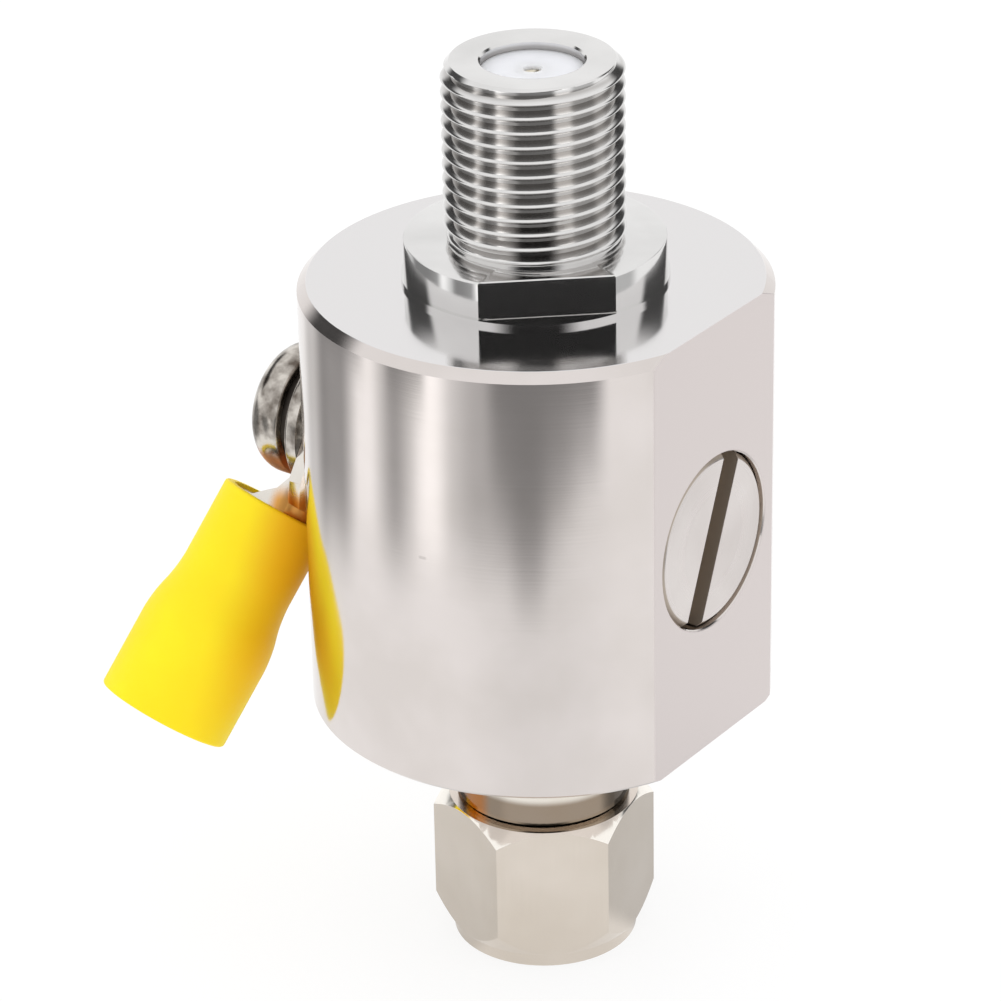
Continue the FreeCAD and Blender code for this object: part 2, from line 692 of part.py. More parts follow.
def makeRingTerminal():
    body = addBody("ring_terminal", terminalSide)
    # the eye and the flat root of the tongue lie on the seat
    sketch = addSketch(body, "XY_Plane", "eyeCircle", "groundSeat")
    drawCircle(sketch, "eyeDiameter / 2")
    extruded(body, "Pad", "eye", sketch, "terminalThickness")
    sketch = addSketch(body, "XZ_Plane", "rootOutline")
    drawOutline(sketch, bracket("groundSeat", "terminalOuter", "0", "bendDistance"))
    extruded(body, "Pad", "root", sketch, "tongueWidth", midplane=True)
    # beyond the bend the tongue leans out and narrows to the foot of the barrel
    sketch = addSketch(body, "XY_Plane", "tongueOutline")
    sketch.setExpression("AttachmentOffset", bound(
        "placement(vector(bendDistance; 0; groundSeat); rotation(vector(0; 1; 0); -barrelTilt))"))
    drawOutline(sketch, [
        ("0", "-tongueWidth / 2"),
        ("tongueLength", "-tongueEndWidth / 2"),
        ("tongueLength", "tongueEndWidth / 2"),
        ("0", "tongueWidth / 2")])
    extruded(body, "Pad", "tongue", sketch, "terminalThickness")
    across = "cos(barrelTilt * 1 deg)"
    rise = "sin(barrelTilt * 1 deg)"
    barrelPlane = "placement(vector(0; groundSeat + barrelStart * %s + barrelRadius * %s;" \
                  " bendDistance + barrelStart * %s - barrelRadius * %s);" \
                  " rotation(vector(1; 0; 0); -barrelTilt))" % (rise, across, across, rise)
    sketch = addSketch(body, "YZ_Plane", "barrelCircle")
    sketch.setExpression("AttachmentOffset", bound(barrelPlane))
    drawCircle(sketch, "barrelRadius")
    extruded(body, "Pad", "barrel", sketch, "barrelLength")
    # the barrel's mouth sweeps down to the tongue like a scoop, measured along the leaning tongue
    tilted = "placement(vector(bendDistance; groundSeat; 0); rotation(vector(0; 0; 1); barrelTilt))"
    sketch = addSketch(body, "XZ_Plane", "scoopOutline")
    sketch.setExpression("AttachmentOffset", bound(tilted))
    drawOutline(sketch, [
        ("0", "scoopSide"),
        ("scoopKneeDistance", "scoopKneeHeight"),
        ("scoopLength", "scoopHeight"),
        ("scoopLength", "2 * barrelDiameter"),
        ("0", "2 * barrelDiameter")])
    extruded(body, "Pocket", "scoop", sketch, "2 * barrelDiameter", midplane=True)
    sketch = addSketch(body, "YZ_Plane", "wireBoreCircle")
    sketch.setExpression("AttachmentOffset", bound(barrelPlane))
    drawCircle(sketch, "barrelRadius - terminalThickness")
    extruded(body, "Pocket", "wireBore", sketch, "2 * barrelLength", outward=True)
    # the bore opens like a funnel towards the tongue
    sketch = addSketch(body, "YZ_Plane", "funnelCircle")
    sketch.setExpression("AttachmentOffset", bound(barrelPlane))
    drawCircle(sketch, "barrelRadius - terminalThickness + barrelMouthFlare")
    funnel = extruded(body, "Pocket", "funnel", sketch, "barrelMouthLength", outward=True)
    funnel.setExpression("TaperAngle", bound("-atan(barrelMouthFlare / barrelMouthLength)"))
    sketch = addSketch(body, "XY_Plane", "eyeHoleCircle", "terminalOuter")
    drawCircle(sketch, "eyeHole / 2")
    extruded(body, "Pocket", "eyeHole", sketch, "2 * terminalThickness")
    return body


def makeTerminalSleeve():
    """The vinyl sleeve is snug on the barrel and flares for the wire's insulation."""
    alongBarrel = " * placement(vector(bendDistance - barrelRadius * sin(barrelTilt * 1 deg); 0;" \
                  " groundSeat + barrelRadius * cos(barrelTilt * 1 deg));" \
                  " rotation(vector(0; 1; 0); 90 - barrelTilt))"
    body = addBody("terminal_sleeve", terminalSide + alongBarrel)
    turned(body, "Revolution", "moulding", [
        ("sleeveBoreRadius", "sleeveStart"),
        ("sleeveNeckDiameter / 2", "sleeveStart"),
        ("sleeveNeckDiameter / 2", "sleeveFlareStart"),
        ("sleeveMouthDiameter / 2", "sleeveFlareEnd"),
        ("sleeveMouthDiameter / 2", "sleeveEnd"),
        ("sleeveMouthDiameter / 2 - sleeveMouthWall", "sleeveEnd"),
        ("sleeveMouthDiameter / 2 - sleeveMouthWall", "sleeveFlareEnd"),
        ("sleeveBoreRadius", "sleeveFlareStart")])
    # the flare is moulded with soft bends
    for name, radius, level in (("neckBend", "sleeveNeckDiameter / 2", "sleeveFlareStart"),
                                ("mouthBend", "sleeveMouthDiameter / 2", "sleeveFlareEnd")):
        rounded(body, "Fillet", name, "sleeveFlareRound", ringEdge(radius, level))
    return body


def makeSealRing(name, ringRadius, level, placement=None):
    """A ring of near-round section, moulded with eight small flats."""
    body = addBody(name, placement)
    turned(body, "Revolution", "moulding", [
        ("%s + sealRadius * cos(%s deg)" % (ringRadius, angle),
         "%s + sealRadius * sin(%s deg)" % (level, angle))
        for angle in (22.5, 67.5, 112.5, 157.5, 202.5, 247.5, 292.5, 337.5)])
    return body


nodes = [
    makeHousing(),
    makeJackShell(),
    makeSealRing("jack_seal_ring", "jackSealDiameter / 2", "bodyTop - seatClearance - sealRadius"),
    makeJackDielectric(),
    makeJackContact(),
    makeCentreConductor(),
    makePlugNeck(),
    makeRetainingRing(),
    makePlugGasket(),
    makePlugInsulator(),
    makePlugPin(),
    makeCouplingNut(),
    *makeGasTube(),
    makeContactSpring(),
    makeGasTubeCap(),
    makeSealRing("cap_seal_ring", "capRadius - seatClearance - sealRadius", "capSealPlace", capSide),
    makeGroundScrew(),
    makeSpringWasher(),
    makeFlatWasher(),
    makeRingTerminal(),
    makeTerminalSleeve(),
]

doc.recompute()
for item in doc.Objects:
    if "Invalid" in item.State or "Error" in item.State:
        raise RuntimeError("%s didn't compute" % item.Name)
for node in nodes:
    if node.Shape.isNull() or not node.Shape.isValid():
        raise RuntimeError("%s has no valid shape" % node.Label)

os.makedirs("parts", exist_ok=True)
for node in nodes:
    node.Shape.exportStep("parts/%s.step" % node.Label)
    box = node.Shape.BoundBox
    print("%-18s solids %d  volume %8.2f  x %6.2f %6.2f  y %6.2f %6.2f  z %6.2f %6.2f" % (
        node.Label, len(node.Shape.Solids), node.Shape.Volume,
        box.XMin, box.XMax, box.YMin, box.YMax, box.ZMin, box.ZMax))
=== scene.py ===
# Coaxial surge arrestor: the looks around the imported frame. Metres, +Z up the connector axis.
import json
import math
import bmesh
import bpy
from mathutils import Matrix, Vector


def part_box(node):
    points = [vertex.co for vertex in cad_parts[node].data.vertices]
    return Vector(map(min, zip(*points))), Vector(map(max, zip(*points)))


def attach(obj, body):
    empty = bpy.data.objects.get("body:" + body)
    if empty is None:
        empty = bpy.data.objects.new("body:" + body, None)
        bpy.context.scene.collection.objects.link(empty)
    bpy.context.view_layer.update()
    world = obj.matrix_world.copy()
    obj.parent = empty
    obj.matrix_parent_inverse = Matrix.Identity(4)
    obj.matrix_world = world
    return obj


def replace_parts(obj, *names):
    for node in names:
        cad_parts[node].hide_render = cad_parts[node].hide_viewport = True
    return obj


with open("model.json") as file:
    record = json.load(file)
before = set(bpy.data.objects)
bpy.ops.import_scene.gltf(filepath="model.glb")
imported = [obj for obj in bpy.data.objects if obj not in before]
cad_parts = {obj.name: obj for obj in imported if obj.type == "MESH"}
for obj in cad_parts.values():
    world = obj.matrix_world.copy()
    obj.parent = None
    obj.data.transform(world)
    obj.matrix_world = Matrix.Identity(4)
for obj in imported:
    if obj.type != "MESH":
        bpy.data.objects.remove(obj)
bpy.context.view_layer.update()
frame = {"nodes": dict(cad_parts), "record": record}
nodes = frame["nodes"]
mounts = {mount["name"]: mount for mount in frame["record"]["mounts"]}
scene = bpy.context.scene
mm = 0.001
# how near two vertices count as one in a finished piece, along a seam and at a cut, in mm
mergeGap, seamGap, cutGap = 0.0005, 0.001, 0.0001


def linearColour(hexText):
    # sRGB hex to the linear colour that Blender's sockets take
    parts = [int(hexText[place:place + 2], 16) / 255 for place in (0, 2, 4)]
    return [part / 12.92 if part < 0.04045 else ((part + 0.055) / 1.055) ** 2.4
            for part in parts] + [1.0]


def addNode(tree, kind, sockets=None, **settings):
    # one node with its settings; a socket takes a plain value, another node or one of its outputs
    node = tree.nodes.new(kind)
    for name, value in settings.items():
        setattr(node, name, value)
    for name, value in (sockets or {}).items():
        if isinstance(value, bpy.types.Node):
            value = value.outputs[0]
        if isinstance(value, bpy.types.NodeSocket):
            tree.links.new(value, node.inputs[name])
        else:
            node.inputs[name].default_value = value
    return node


def softPatch(tree, value, centre, half, soft):
    # 1 round the centre, falling to 0 across a soft edge
    away = addNode(tree, "ShaderNodeMath", {0: value, 1: centre}, operation="SUBTRACT")
    away = addNode(tree, "ShaderNodeMath", {0: away}, operation="ABSOLUTE")
    edges = {"Value": away, "From Min": half + soft, "From Max": half - soft}
    return addNode(tree, "ShaderNodeMapRange", edges, interpolation_type="SMOOTHSTEP")


def zoned(tree, place, radius, value, zones, key):
    # Change a tint or a roughness inside each zone. A zone's steps go from 0 to 1 between two
    # levels of an Object coordinate or the radius in mm, or of how far the surface looks up, and
    # are multiplied.
    for zone in zones:
        if key not in zone:
            continue
        mask = zone.get("weight", 1.0)
        for name, start, end in zone["steps"]:
            unit = 1 if name == "up" else mm
            if name == "radius":
                level = radius
            elif name == "up":
                facing = addNode(tree, "ShaderNodeNewGeometry").outputs["Normal"]
                level = addNode(tree, "ShaderNodeSeparateXYZ", {0: facing}).outputs["Z"]
            else:
                level = addNode(tree, "ShaderNodeSeparateXYZ", {0: place}).outputs[name.upper()]
            step = addNode(tree, "ShaderNodeMapRange", {
                "Value": level, "From Min": start * unit, "From Max": end * unit},
                interpolation_type="SMOOTHSTEP")
            mask = addNode(tree, "ShaderNodeMath", {0: mask, 1: step}, operation="MULTIPLY")
        if key == "tint":
            value = addNode(tree, "ShaderNodeMix", {
                "Factor": mask, "A": value, "B": linearColour(zone[key])},
                data_type="RGBA").outputs["Result"]
        else:
            value = addNode(tree, "ShaderNodeMix", {
                "Factor": mask, 2: value, 3: zone[key]}).outputs[0]
    return value


# How the noises are read: the span of values that counts, the detail, the size of a metal's slow
# clouds in mm, and how far the roughness moves, as a share on a metal and an amount elsewhere. A
# quarter turn lays the smear across the lines.
pattern = {
    "cloudSpan": (0.35, 0.65), "lineSpan": (0.25, 0.75), "grainSpan": (0.3, 0.7),
    "detail": 3.0, "softDetail": 2.0, "lineFalloff": 0.6, "cloud": 5,
    "roughShare": 0.25, "roughAmount": 0.06, "smearTurn": 0.25,
}


# plated and bare metals

def metal(name, finish):
    # A turned or tumbled metal. The lathe's fine lines run round the piece's own axis, so
    # reflections smear across them, and a broad slow noise keeps the tint from being even.
    material = bpy.data.materials.new(name)
    material.use_nodes = True
    tree = material.node_tree
    shader = tree.nodes["Principled BSDF"]
    place = addNode(tree, "ShaderNodeTexCoord").outputs["Object"]
    centre = Vector(finish.get("centre", (0, 0, 0))) * mm
    axis = Vector(finish.get("axis", (0, 0, 1)))
    arm = addNode(tree, "ShaderNodeVectorMath", {0: place, 1: centre}, operation="SUBTRACT")
    across = addNode(tree, "ShaderNodeVectorMath", {0: axis, 1: arm}, operation="CROSS_PRODUCT")
    radius = addNode(tree, "ShaderNodeVectorMath", {0: across}, operation="LENGTH").outputs["Value"]
    along = addNode(tree, "ShaderNodeVectorMath", {0: arm, 1: axis}, operation="DOT_PRODUCT")
    if finish.get("turned", True):
        grain = addNode(tree, "ShaderNodeCombineXYZ", {"X": radius, "Y": along.outputs["Value"]})
    else:
        grain = addNode(tree, "ShaderNodeVectorMath", {
            0: place, 1: finish.get("stretch", (1, 1, 1))}, operation="MULTIPLY")
    lines = addNode(tree, "ShaderNodeTexNoise", {
        "Vector": grain, "Scale": 1 / (finish["spacing"] * mm), "Detail": pattern["detail"],
        "Roughness": pattern["lineFalloff"]})
    cloud = finish.get("cloud", pattern["cloud"])
    broad = addNode(tree, "ShaderNodeTexNoise", {
        "Vector": place, "Scale": 1 / (cloud * mm), "Detail": pattern["detail"]})
    low, high = pattern["cloudSpan"]
    clouds = addNode(tree, "ShaderNodeMapRange", {
        "Value": broad, "From Min": low, "From Max": high})
    tint = addNode(tree, "ShaderNodeMix", {
        "Factor": clouds, "A": linearColour(finish["tint"]), "B": linearColour(finish["shade"])},
        data_type="RGBA").outputs["Result"]
    zones = finish.get("zones", [])
    tree.links.new(zoned(tree, place, radius, tint, zones, "tint"), shader.inputs["Base Color"])
    low, high = pattern["lineSpan"]
    rough = addNode(tree, "ShaderNodeMapRange", {
        "Value": lines, "From Min": low, "From Max": high,
        "To Min": finish["rough"] * (1 - pattern["roughShare"]),
        "To Max": finish["rough"] * (1 + pattern["roughShare"])})
    tree.links.new(zoned(tree, place, radius, rough.outputs[0], zones, "rough"),
                   shader.inputs["Roughness"])
    relief = addNode(tree, "ShaderNodeBump", {
        "Strength": 1.0, "Distance": finish["height"] * mm, "Height": lines})
    tree.links.new(relief.outputs[0], shader.inputs["Normal"])
    shader.inputs["Metallic"].default_value = 1.0
    shader.inputs["Anisotropic"].default_value = finish.get("smear", 0.0)
    shader.inputs["Anisotropic Rotation"].default_value = pattern["smearTurn"]
    tangent = addNode(tree, "ShaderNodeVectorMath", {0: across}, operation="NORMALIZE")
    tree.links.new(tangent.outputs[0], shader.inputs["Tangent"])
    return material


# Nickel plate over turned brass: a warm light grey mirror with lines about 0.1 mm apart. The milled
# flat is matte and a little darker, the faced top is cooler, and the front has a faint scratch.
bodyNickel = metal("nickel_body", {
    "tint": "DFD8D5", "shade": "D8D1CD", "rough": 0.1, "spacing": 0.12, "height": 0.0005,
    "smear": 0.5,
    "zones": [{"steps": [("x", 11.15, 11.17)], "tint": "DAD2D0", "rough": 0.42},
              {"steps": [("z", 39.42, 39.44)], "tint": "E3E1E1", "rough": 0.1},
              {"steps": [("x", 1.2, 1.35), ("x", 1.75, 1.6), ("z", 28.44, 28.52), ("z", 28.7, 28.6),
                         ("y", -12.0, -12.3)], "tint": "6B6560", "weight": 0.22}]})
# Bright nickel plate over a rolled thread: smooth, with painted shade down in the roots.
threadNickel = metal("nickel_thread", {
    "tint": "E4E3E2", "shade": "D9D8D7", "rough": 0.11, "spacing": 0.1, "height": 0.0003,
    "smear": 0.3,
    # the zone darkens the thread roots: painted shade
    "zones": [{"steps": [("radius", 4.74, 4.42), ("z", 51.25, 51.05), ("z", 42.2, 42.4)],
               "tint": "6F665E", "weight": 0.45}]})
# Nickel plate over hexagon bar: the drawn bar's fine lines run along the nut, under a warm satin
# plate. Faces that look up, such as the top chamfer, are tinted lighter: a painted highlight.
nutNickel = metal("nickel_nut", {
    "tint": "DDD4CA", "shade": "D2C8BC", "rough": 0.2, "spacing": 0.12, "height": 0.0008,
    "turned": False, "stretch": (1, 1, 0.04), "cloud": 8,
    # the zone lightens faces that look up: painted highlight
    "zones": [{"steps": [("up", 0.2, 0.35)], "tint": "FBF6EE", "rough": 0.14}]})
# The neck's plate is yellower, with painted shade, brown, at its foot by the nut, and painted
# reflections, orange and black, at its sides.
neckNickel = metal("nickel_neck", {
    "tint": "EBE6DE", "shade": "E0D8CC", "rough": 0.14, "spacing": 0.1, "height": 0.0004,
    "smear": 0.3,
    # painted shade at the foot, where the neck goes into the nut
    "zones": [{"steps": [("z", 10.4, 9.9)], "tint": "7A644C", "weight": 0.8},
              # painted reflections at the sides: orange, black, and dark on the far side
              {"steps": [("x", -0.1, -1.0), ("y", -2.0, -3.0)], "tint": "B87434", "weight": 0.8},
              {"steps": [("x", -1.6, -2.6), ("y", -2.0, -3.0)], "tint": "3C342C", "weight": 0.8},
              {"steps": [("y", -1.3, -0.2), ("x", 3.0, 4.0)], "tint": "4A4239", "weight": 0.8}]})
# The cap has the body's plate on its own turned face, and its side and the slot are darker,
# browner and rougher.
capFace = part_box("gas_tube_cap")[1][0] / mm
capNickel = metal("nickel_cap", {
    "tint": "DBD5D2", "shade": "D2CBC8", "rough": 0.3, "spacing": 0.12, "height": 0.0006,
    "smear": 0.3, "axis": (1, 0, 0), "centre": (0, 0, 26.95),
    "zones": [{"steps": [("x", capFace - 0.02, capFace - 0.06)], "tint": "B8ADA1", "rough": 0.43}]})
# Gold flash over beryllium copper and brass.
gold = metal("gold", {
    "tint": "F2CE7A", "shade": "E3B95E", "rough": 0.18, "spacing": 0.06, "height": 0.0003,
    "smear": 0.3})
# The same gold on the jack's contact, tinted near white and rough: painted light in the shaded
# entry hole.
paleGold = metal("gold_contact", {
    "tint": "FBF6E8", "shade": "F6EEDC", "rough": 0.6, "spacing": 0.06, "height": 0.0003})
# Spring steel with a thin plate, dark and even.
springSteel = metal("spring_steel", {
    "tint": "C9C8C6", "shade": "B4B2AF", "rough": 0.3, "spacing": 0.08, "height": 0.0006,
    "turned": False})
# Nickel-iron electrodes, grey and slightly rough from brazing.
electrode = metal("electrode", {
    "tint": "CFCAC2", "shade": "B8B1A6", "rough": 0.35, "spacing": 0.15, "height": 0.0015,
    "turned": False})
# Bright tin plate on soft copper: even and a little soft, with a painted orange reflection of the
# yellow sleeve low down.
tin = metal("tinned_copper", {
    "tint": "EDE9E3", "shade": "DCD6CD", "rough": 0.22, "spacing": 0.2, "height": 0.001,
    "turned": False,
    # painted reflection of the yellow sleeve on the tongue
    "zones": [{"steps": [("z", 25.4, 24.4), ("x", -14.5, -13.9)], "tint": "DE9A30", "rough": 0.35,
               "weight": 0.9}]})
# Plated steel that has gone dull: bright and dark patches, and an orange-brown stain low down.
steel = metal("steel_screw", {
    "tint": "D6D0C8", "shade": "685F57", "rough": 0.18, "spacing": 0.4, "height": 0.003,
    "turned": False, "cloud": 1.1,
    "zones": [{"steps": [("z", 26.6, 25.6)], "tint": "D08850", "rough": 0.5, "weight": 0.85}]})
# The split spring washer between head and flat washer, tinted near black: painted shade in the
# gap between them.
shadedWasherSteel = metal("spring_washer", {
    "tint": "4A4540", "shade": "2E2A27", "rough": 0.4, "spacing": 0.2, "height": 0.003,
    "turned": False})

# polymers, rubber and ceramic

def matter(name, finish):
    # A non-metal with a fine surface grain and a slow change of tint.
    material = bpy.data.materials.new(name)
    material.use_nodes = True
    tree = material.node_tree
    shader = tree.nodes["Principled BSDF"]
    place = addNode(tree, "ShaderNodeTexCoord").outputs["Object"]
    grain = addNode(tree, "ShaderNodeTexNoise", {
        "Vector": place, "Scale": 1 / (finish["spacing"] * mm), "Detail": pattern["detail"]})
    broad = addNode(tree, "ShaderNodeTexNoise", {
        "Vector": place, "Scale": 1 / (finish["cloud"] * mm), "Detail": pattern["softDetail"]})
    low, high = pattern["cloudSpan"]
    clouds = addNode(tree, "ShaderNodeMapRange", {
        "Value": broad, "From Min": low, "From Max": high})
    tint = addNode(tree, "ShaderNodeMix", {
        "Factor": clouds, "A": linearColour(finish["tint"]), "B": linearColour(finish["shade"])},
        data_type="RGBA").outputs["Result"]
    zones = finish.get("zones", [])
    tree.links.new(zoned(tree, place, None, tint, zones, "tint"), shader.inputs["Base Color"])
    low, high = pattern["grainSpan"]
    rough = addNode(tree, "ShaderNodeMapRange", {
        "Value": grain, "From Min": low, "From Max": high,
        "To Min": finish["rough"] - pattern["roughAmount"],
        "To Max": finish["rough"] + pattern["roughAmount"]})
    tree.links.new(rough.outputs[0], shader.inputs["Roughness"])
    relief = addNode(tree, "ShaderNodeBump", {
        "Strength": 1.0, "Distance": finish["height"] * mm, "Height": grain})
    tree.links.new(relief.outputs[0], shader.inputs["Normal"])
    shader.inputs["IOR"].default_value = finish["ior"]
    if "depth" in finish:
        shader.inputs["Subsurface Weight"].default_value = finish["through"]
        shader.inputs["Subsurface Radius"].default_value = finish["depth"]
        shader.inputs["Subsurface Scale"].default_value = mm
    return material


# Machined fluoropolymer: a cool white that light sinks into a little.
polymer = matter("white_polymer", {
    "tint": "E6E7EC", "shade": "E1E2E7", "rough": 0.4, "spacing": 0.15, "cloud": 2.0,
    "height": 0.002, "ior": 1.38, "through": 0.7, "depth": (1.2, 1.2, 1.2)})
# Dip-moulded vinyl: strong yellow, satin with little shine, and painted shade in orange on the
# side near the body.
vinyl = matter("yellow_vinyl", {
    "tint": "FFE606", "shade": "FFE004", "rough": 0.55, "spacing": 0.25, "cloud": 4.0,
    "height": 0.003, "ior": 1.38, "through": 0.1, "depth": (1.2, 0.6, 0.05),
    # orange towards the body: painted shade
    "zones": [{"steps": [("x", -15.0, -12.6)], "tint": "FFB404", "weight": 0.9}]})
# Black nitrile rubber, dull.
rubber = matter("seal_rubber", {
    "tint": "1B1B1B", "shade": "262524", "rough": 0.62, "spacing": 0.1, "cloud": 1.0,
    "height": 0.003, "ior": 1.5})
# Fired alumina: a hard warm white with a fine grain.
alumina = matter("ceramic_white", {
    "tint": "F2EEE6", "shade": "EAE5DA", "rough": 0.45, "spacing": 0.08, "cloud": 1.5,
    "height": 0.002, "ior": 1.76})
print("materials done")

# pieces

def finished(name, mesh, body, material, sharpFrom):
    # put a modelled mesh in the scene as a piece that rides on a body, shaded smooth over edges
    # that turn by less than sharpFrom degrees
    bmesh.ops.remove_doubles(mesh, verts=mesh.verts, dist=mergeGap * mm)
    bmesh.ops.recalc_face_normals(mesh, faces=mesh.faces)
    data = bpy.data.meshes.new(name)
    mesh.to_mesh(data)
    mesh.free()
    data.shade_smooth()
    data.set_sharp_from_angle(angle=math.radians(sharpFrom))
    piece = bpy.data.objects.new(name, data)
    scene.collection.objects.link(piece)
    data.materials.append(material)
    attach(piece, body)
    return piece


def everything(mesh):
    return mesh.verts[:] + mesh.edges[:] + mesh.faces[:]


def spunProfile(mesh, corners, steps, close=True):
    # turn a profile of (radius, height) in mm about the Z axis
    points = [mesh.verts.new((radius * mm, 0, height * mm)) for radius, height in corners]
    pairs = list(zip(points, points[1:])) + ([(points[-1], points[0])] if close else [])
    edges = [mesh.edges.new(pair) for pair in pairs]
    bmesh.ops.spin(mesh, geom=points + edges, cent=(0, 0, 0), axis=(0, 0, 1), angle=2 * math.pi,
                   steps=steps, use_merge=True)


# jack with its rolled 3/8-32 thread, mm
jack = {
    "pitch": 25.4 / 32, "crestRadius": 4.7625, "depth": 0.46, "crestFlat": 0.1, "rootFlat": 0.16,
    "crestRound": 0.07, "stepsPerTurn": 20, "spareTurns": 2,
    "tipTop": 51.45, "tipRadius": 4.29, "tipSlope": 1.0,
    "shoulderRadius": 4.575, "shoulderTop": 42.15, "runOut": 0.3,
    "steps": 144, "sharpFrom": 26,
    "lipRadius": 7.035, "lipBottom": 39.45, "shankRadius": 5.3, "shankBottom": 34.45,
    "rearBoreRadius": 3.9, "rearBoreTop": 42.05, "boreRadius": 2.7,
    "mouth": [(2.7, 51.3), (2.78, 51.42), (2.86, 51.45)],
}
# its flange with two wrench flats, mm; edgeRound is the share of the edge where its bevel bends
flange = {
    "innerRadius": 4, "radius": 6.875, "top": 41.75, "bottom": 39.7, "edge": 0.12, "edgeRound": 0.3,
    "wrenchHalf": 5.9, "wrenchTurn": -49, "wrenchEdge": 0.06,
}


def threadRadius(phase):
    # the radius at a phase of the turn from 0 to 1, crest at 0.5
    away = abs(phase - 0.5) * jack["pitch"]
    flank = (jack["pitch"] - jack["crestFlat"] - jack["rootFlat"]) / 2
    past, soft = away - jack["crestFlat"] / 2, jack["crestRound"]
    eased = max(past, 0) if abs(past) > soft else (past + soft) ** 2 / (4 * soft)
    return jack["crestRadius"] - jack["depth"] * min(eased / flank, 1)


def jackThread(mesh):
    # a helical wall from the shoulder to the tip, cut level at both ends
    perTurn = jack["stepsPerTurn"]
    low = flange["top"] - jack["spareTurns"] * jack["pitch"]
    turns = math.ceil((jack["tipTop"] - low) / jack["pitch"]) + jack["spareTurns"]
    points = [mesh.verts.new((threadRadius(step / perTurn % 1) * mm, 0,
                              (low + step * jack["pitch"] / perTurn) * mm))
              for step in range(turns * perTurn + 1)]
    edges = [mesh.edges.new(pair) for pair in zip(points, points[1:])]
    rise = Vector((0, 0, jack["pitch"] * mm / jack["steps"]))
    bmesh.ops.spin(mesh, geom=points + edges, cent=(0, 0, 0), axis=(0, 0, 1), dvec=rise,
                   angle=2 * math.pi, steps=jack["steps"])
    bmesh.ops.remove_doubles(mesh, verts=mesh.verts, dist=seamGap * mm)
    for level, normal in ((flange["top"], -1), (jack["tipTop"], 1)):
        bmesh.ops.bisect_plane(
            mesh, geom=everything(mesh), dist=mergeGap * mm,
            plane_co=(0, 0, level * mm), plane_no=(0, 0, normal), clear_outer=True)
    for vert in mesh.verts:
        radius, height = vert.co.xy.length / mm, vert.co.z / mm
        wanted = min(radius, jack["tipRadius"] + (jack["tipTop"] - height) * jack["tipSlope"])
        sunk = min(max((jack["shoulderTop"] - height) / jack["runOut"], 0), 1)
        wanted += (jack["shoulderRadius"] - wanted) * sunk
        vert.co.xy *= wanted / radius
        vert.co.z = min(vert.co.z, jack["tipTop"] * mm)


def wrenchFlange():
    # the flange with its two wrench flats, their level edges broken
    mesh = bmesh.new()
    inner, outer, edge = flange["innerRadius"], flange["radius"], flange["edge"]
    top, bottom, bend = flange["top"], flange["bottom"], flange["edgeRound"] * edge
    spunProfile(mesh, [
        (inner, top), (outer - edge, top), (outer - bend, top - bend), (outer, top - edge),
        (outer, bottom), (inner, bottom)], jack["steps"])
    for turn in (flange["wrenchTurn"], flange["wrenchTurn"] + 180):
        facing = Matrix.Rotation(math.radians(turn), 3, "Z") @ Vector((1, 0, 0))
        cut = bmesh.ops.bisect_plane(
            mesh, geom=everything(mesh), dist=cutGap * mm,
            plane_co=facing * flange["wrenchHalf"] * mm, plane_no=facing, clear_outer=True)
        rim = [item for item in cut["geom_cut"] if isinstance(item, bmesh.types.BMEdge)]
        bmesh.ops.contextual_create(mesh, geom=rim)
        level = [item for item in rim
                 if abs(item.verts[0].co.z - item.verts[1].co.z) < seamGap * mm]
        bmesh.ops.bevel(
            mesh, geom=level, offset=flange["wrenchEdge"] * mm, offset_type="OFFSET",
            segments=1, profile=0.5, affect="EDGES", material=-1)
    return mesh


def makeJack():
    # the thread, then the wall from under it round the lip, the shank and the bore back to the tip
    mesh = bmesh.new()
    jackThread(mesh)
    profile = [
        ("shoulderRadius", flange["top"]), ("shoulderRadius", flange["bottom"]),
        ("lipRadius", flange["bottom"]), ("lipRadius", jack["lipBottom"]),
        ("shankRadius", jack["lipBottom"]), ("shankRadius", jack["shankBottom"]),
        ("rearBoreRadius", jack["shankBottom"]), ("rearBoreRadius", jack["rearBoreTop"]),
        ("boreRadius", jack["rearBoreTop"])]
    spunProfile(mesh, [(jack[radius], level) for radius, level in profile] + jack["mouth"]
                + [(jack["tipRadius"], jack["tipTop"])], jack["steps"], close=False)
    separate = wrenchFlange()
    joined = bpy.data.meshes.new("flange")
    separate.to_mesh(joined)
    separate.free()
    mesh.from_mesh(joined)
    bpy.data.meshes.remove(joined)
    return finished("jack_shell_threaded", mesh, "housing", threadNickel,
                    jack["sharpFrom"])


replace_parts(makeJack(), "jack_shell")

# vinyl sleeve, mm along the barrel from the end near the bend
sleeve = {
    "length": 13.25, "neckRadius": 3.22, "boreRadius": 2.7, "flareStart": 5.5, "flareEnd": 7.7,
    "mouthRadius": 3.79, "mouthWall": 0.5, "bendSpan": 0.9, "bendSteps": 6, "lipSpan": 0.18,
    "lipSteps": 3, "steps": 72, "startFromWireMount": -3.1, "ringGap": 0.002, "sharpFrom": 50,
}


def ringEdges(mesh, radius, height):
    # the edges of one ring of a spun piece
    def fits(vert):
        off = max(abs(vert.co.xy.length / mm - radius), abs(vert.co.z / mm - height))
        return off < sleeve["ringGap"]
    return [edge for edge in mesh.edges if all(fits(vert) for vert in edge.verts)]


